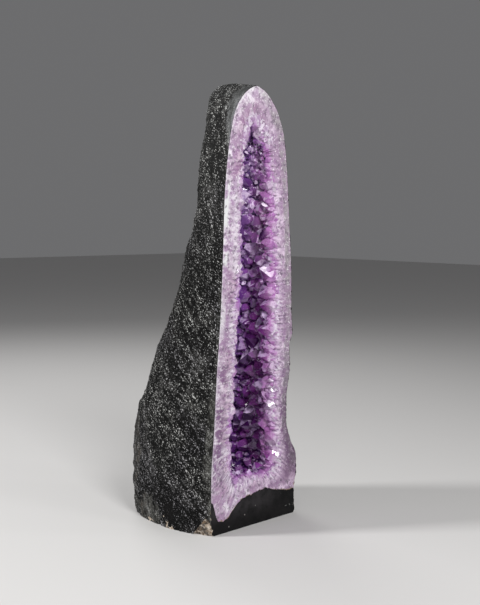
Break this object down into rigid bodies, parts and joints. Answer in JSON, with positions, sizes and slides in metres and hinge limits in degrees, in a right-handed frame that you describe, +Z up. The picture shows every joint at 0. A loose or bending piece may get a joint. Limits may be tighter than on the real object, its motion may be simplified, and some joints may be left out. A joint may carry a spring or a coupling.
{
  "type": "cathedral geode",
  "caption": "Tall stone nodule with a flat sawn face, a crystal-lined hollow behind it and a flat base to stand on.",
  "frame": {"origin": "middle of the stone's box, on the flat base", "axes": "+Z up, the stone's length; the sawn face with the crystals looks along -Y; +X to the right of someone who faces it"},
  "size_m": [0.2684, 0.2676, 0.766],
  "materials": {
    "basalt": "dark grey, pitted, half gloss",
    "amethyst": "pale sawn rim, glossy purple crystals"
  },
  "bodies": {
    "root": {"basalt_shell": "basalt", "amethyst_crust": "amethyst"}
  },
  "joints": []
}
